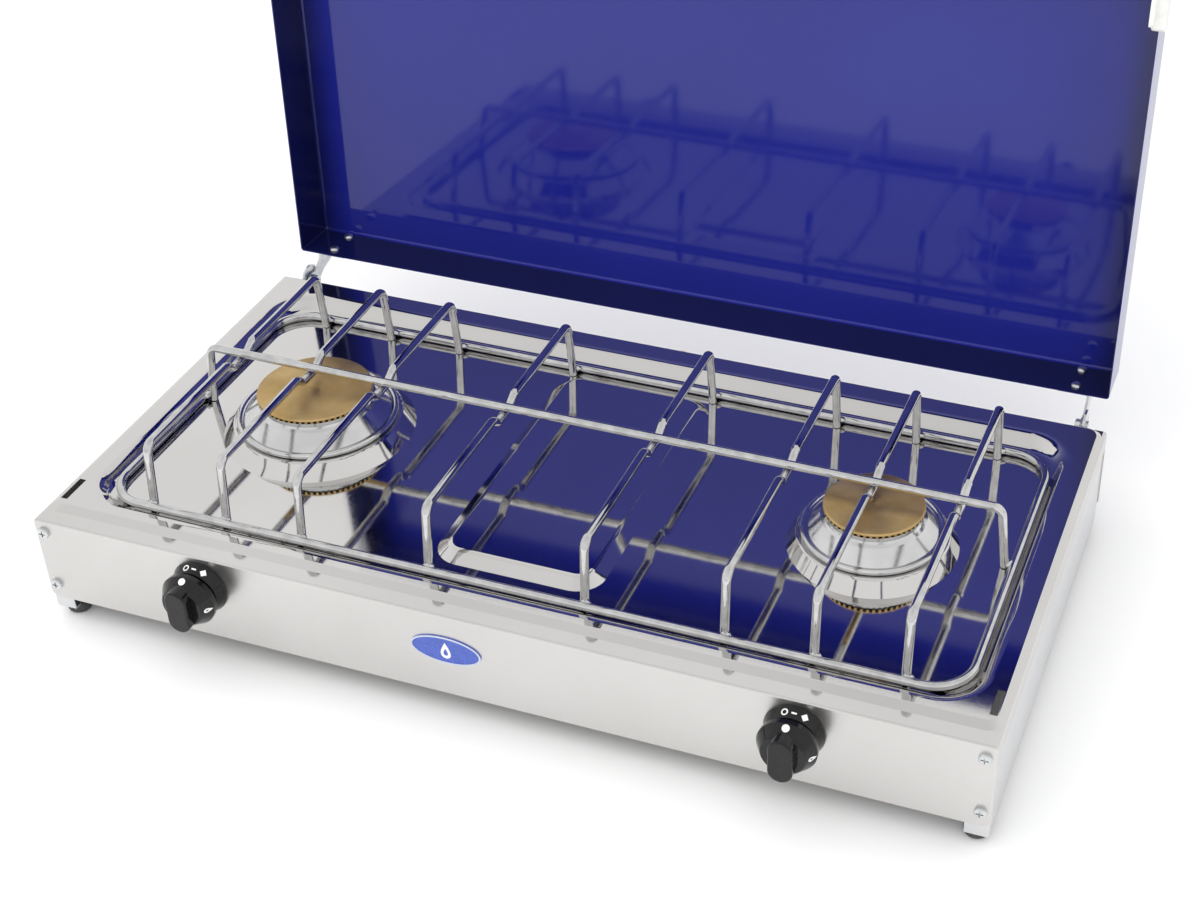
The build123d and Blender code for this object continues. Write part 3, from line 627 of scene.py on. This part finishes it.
def make_support(material):
    """The whole pan support in smooth wire with its welds."""
    left, right, near, far, level = ring_wire(material)
    bar_y = long_bar(material)
    bars = [cross_bar(number, material) for number in range(1, 9)]
    rise = Vector((0, 0, 1.2 * MM))
    wide, deep, tall = 3.6 * MM, 2.6 * MM, 1.7 * MM
    places = []
    for x in bars:
        for y, way in ((near, 1), (far, -1)):
            places.append((Vector((x + 1.6 * MM, y + way * WIRE, level)) + rise, (wide, deep, tall)))
    for x, way in ((left, 1), (right, -1)):
        places.append((Vector((x + way * WIRE, bar_y - 1.6 * MM, level)) + rise, (deep, wide, tall)))
    weld_beads(material, places)


def notched_cap(hand, ports):
    """A brass cap with gas ports cut all round the lower edge of its rim."""
    node = f"{hand}_burner_cap"
    low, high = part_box(node)
    centre = Vector(((low.x + high.x) / 2, (low.y + high.y) / 2, high.z))
    reach = (high.x - low.x) / 2
    spigot = reach - 5.6 * MM
    depth = 4.0 * MM
    material = turned_brass(f"turned_brass_{hand}", reach)
    roof, under, foot = PORT_ROOF, -3.4 * MM, low.z - high.z
    verts = [centre]
    pitch = 2 * math.pi / ports
    rings = 0
    for port in range(ports):
        for share, cut in ((0.0, 0), (0.04, 1), (0.54, 1), (0.58, 0)):
            angle = (port + share) * pitch
            inner = reach - depth * cut
            outline = [
                (reach * 0.55, 0), (reach - 1.3 * MM, 0), (reach - 0.5 * MM, -0.15 * MM),
                (reach - 0.1 * MM, -0.5 * MM), (reach, -0.9 * MM), (reach, roof),
                (inner - 0.05 * MM, roof - 0.02 * MM - 0.2 * MM * cut), (inner - 0.05 * MM, under + 0.5 * MM),
                (min(inner, reach - 0.7 * MM) - 0.1 * MM, under), (spigot, under),
                (spigot, foot), (spigot - 2 * MM, foot), (spigot - 2 * MM, under), (spigot * 0.5, under),
            ]
            for radius, height in outline:
                verts.append(centre + Vector((radius * math.cos(angle), radius * math.sin(angle), height)))
            rings += 1
    size = len(outline)
    faces = []
    for ring in range(rings):
        here = 1 + ring * size
        there = 1 + (ring + 1) % rings * size
        faces.append((0, here, there))
        for step in range(size - 1):
            faces.append((here + step, here + step + 1, there + step + 1, there + step))
    faces.append(tuple(1 + ring * size + size - 1 for ring in reversed(range(rings))))
    piece = link_mesh(f"{hand}_brass_cap", verts, faces, material, centre)
    declare(piece, node, "brass", node)


SPRING_TURNS = 4
SPRING_WIRE = 0.4 * MM


def tap_coil(hand, material):
    """The spring behind a knob's spindle, which shortens towards its seat when the knob is pushed. Here it is
    drawn as a fixed coil that rides on the tap plug.
    """
    node = f"{hand}_tap_spring"
    low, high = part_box(node)
    axis = Vector(((low.x + high.x) / 2, 0, (low.z + high.z) / 2))
    reach = (high.x - low.x) / 2 - SPRING_WIRE
    start, end = low.y + SPRING_WIRE, high.y - SPRING_WIRE
    steps = SPRING_TURNS * 24
    path = []
    for step in range(steps + 1):
        angle = 2 * math.pi * step / 24
        along = start + (end - start) * step / steps
        path.append((axis + Vector((reach * math.cos(angle), along, reach * math.sin(angle))), 0.0))
    piece = wire_mesh(f"{hand}_tap_coil", path, Vector((0, 1, 0)), SPRING_WIRE, material, sides=12)
    declare(piece, f"{hand}_tap_plug", "spring_steel", node)
    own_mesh(piece)


def plate(name, outer, hole, place, material, body, slot):
    """A thin mark let into a surface, whole or with a hole. place turns u, v and height into a point."""
    lift = 0.06 * MM
    sunk = -0.25 * MM
    count = len(outer)
    middle = [sum(point[axis] for point in hole or outer) / count for axis in (0, 1)]
    inner = hole or [middle] * count
    shares = [step / 6 for step in range(7 if hole else 6)]
    verts = [place(u * MM, v * MM, sunk) for u, v in outer]
    for share in shares:
        for (u, v), (p, q) in zip(outer, inner):
            verts.append(place((u + (p - u) * share) * MM, (v + (q - v) * share) * MM, lift))
    if hole:
        verts.extend(place(u * MM, v * MM, sunk) for u, v in hole)
    faces = []
    rows = len(verts) // count
    for row in range(rows - 1 + bool(hole)):
        here = row * count
        there = (row + 1) % rows * count
        for step in range(count):
            after = (step + 1) % count
            faces.append((here + step, here + after, there + after, there + step))
    if not hole:
        faces.append(tuple(range(count)))
        verts.append(place(middle[0] * MM, middle[1] * MM, lift))
        last = (rows - 1) * count
        faces.extend((last + step, last + (step + 1) % count, rows * count) for step in range(count))
    piece = link_mesh(name, verts, faces, material)
    shape = bmesh.new()
    shape.from_mesh(piece.data)
    bmesh.ops.recalc_face_normals(shape, faces=shape.faces)
    shape.to_mesh(piece.data)
    shape.free()
    declare(piece, body, slot)


def disc(radius, sides=32):
    return [(radius * math.cos(2 * math.pi * k / sides), radius * math.sin(2 * math.pi * k / sides))
            for k in range(sides)]


def drop(length, width, sides=32):
    """The outline of a drop, with its tip up."""
    outline = []
    for step in range(sides):
        angle = 2 * math.pi * step / sides
        narrow = math.sin(angle / 2) ** 1.4
        outline.append((-width / 2 * math.sin(angle) * narrow, length / 2 * math.cos(angle)))
    return outline


def on_cone(axis, angle, y, radius, slope):
    """Places marks on a cone about a knob's axis. The angle is clockwise from the top, from the front."""
    x0, z0 = axis
    def place(u, v, height):
        turn = math.radians(angle) + u / radius
        out = radius + v * math.sin(slope) + height * math.cos(slope)
        along = y + v * math.cos(slope) - height * math.sin(slope)
        return Vector((x0 + out * math.sin(turn), along, z0 + out * math.cos(turn)))
    return place


def knob_marks(hand, material):
    """White marks on a knob's skirt and on the ring behind it."""
    low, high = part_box(f"{hand}_bezel")
    axis = ((low.x + high.x) / 2, (low.z + high.z) / 2)
    knob = f"{hand}_knob"
    skirt = math.atan2(4.2, 6.9)
    plate(f"{hand}_pointer_dot", disc(2.2), None, on_cone(axis, 0.0, FRONT - 16.9 * MM, 16.14 * MM, skirt),
          material, knob, "white_plastic")
    plate(f"{hand}_flame_mark", drop(6.0, 4.4), [(u * 0.34, v * 0.34 - 0.7) for u, v in drop(6.0, 4.4)],
          on_cone(axis, 92.0, FRONT - 17.6 * MM, 15.71 * MM, skirt), material, knob, "white_plastic")
    flank = math.atan2(2.7, 6.4)
    middle = (FRONT - 4.8 * MM, 16.65 * MM, flank)
    plate(f"{hand}_closed_mark", disc(2.0), disc(1.25), on_cone(axis, -16.0, *middle), material, "case",
          "white_plastic")
    plate(f"{hand}_bar_mark", [(-1.5, -0.5), (1.5, -0.5), (1.5, 0.5), (-1.5, 0.5)], None,
          on_cone(axis, 3.0, *middle), material, "case", "white_plastic")
    plate(f"{hand}_full_mark", [(0, -2.3), (2.3, 0), (0, 2.3), (-2.3, 0)], None,
          on_cone(axis, 25.0, *middle), material, "case", "white_plastic")


def badge_mark(material):
    """A plain drop in the middle of the badge."""
    low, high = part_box("badge")
    x0, z0 = (low.x + high.x) / 2, (low.z + high.z) / 2
    face = FRONT - 0.6 * MM
    def place(u, v, height):
        return Vector((x0 + u, face - height, z0 + v))
    outer = drop(12.0, 9.0)
    hole = [(u * 0.45, v * 0.45 - 1.2) for u, v in outer]
    plate("badge_drop", outer, hole, place, material, "case", "white_plastic")


make_camera()
make_studio()
materials = make_materials()
dress_nodes(materials)
make_support(materials["wire_chrome"])
notched_cap("left", 63)
notched_cap("right", 52)
tap_coil("left", materials["spring_steel"])
tap_coil("right", materials["spring_steel"])
knob_marks("left", materials["white_plastic"])
knob_marks("right", materials["white_plastic"])
badge_mark(materials["white_plastic"])
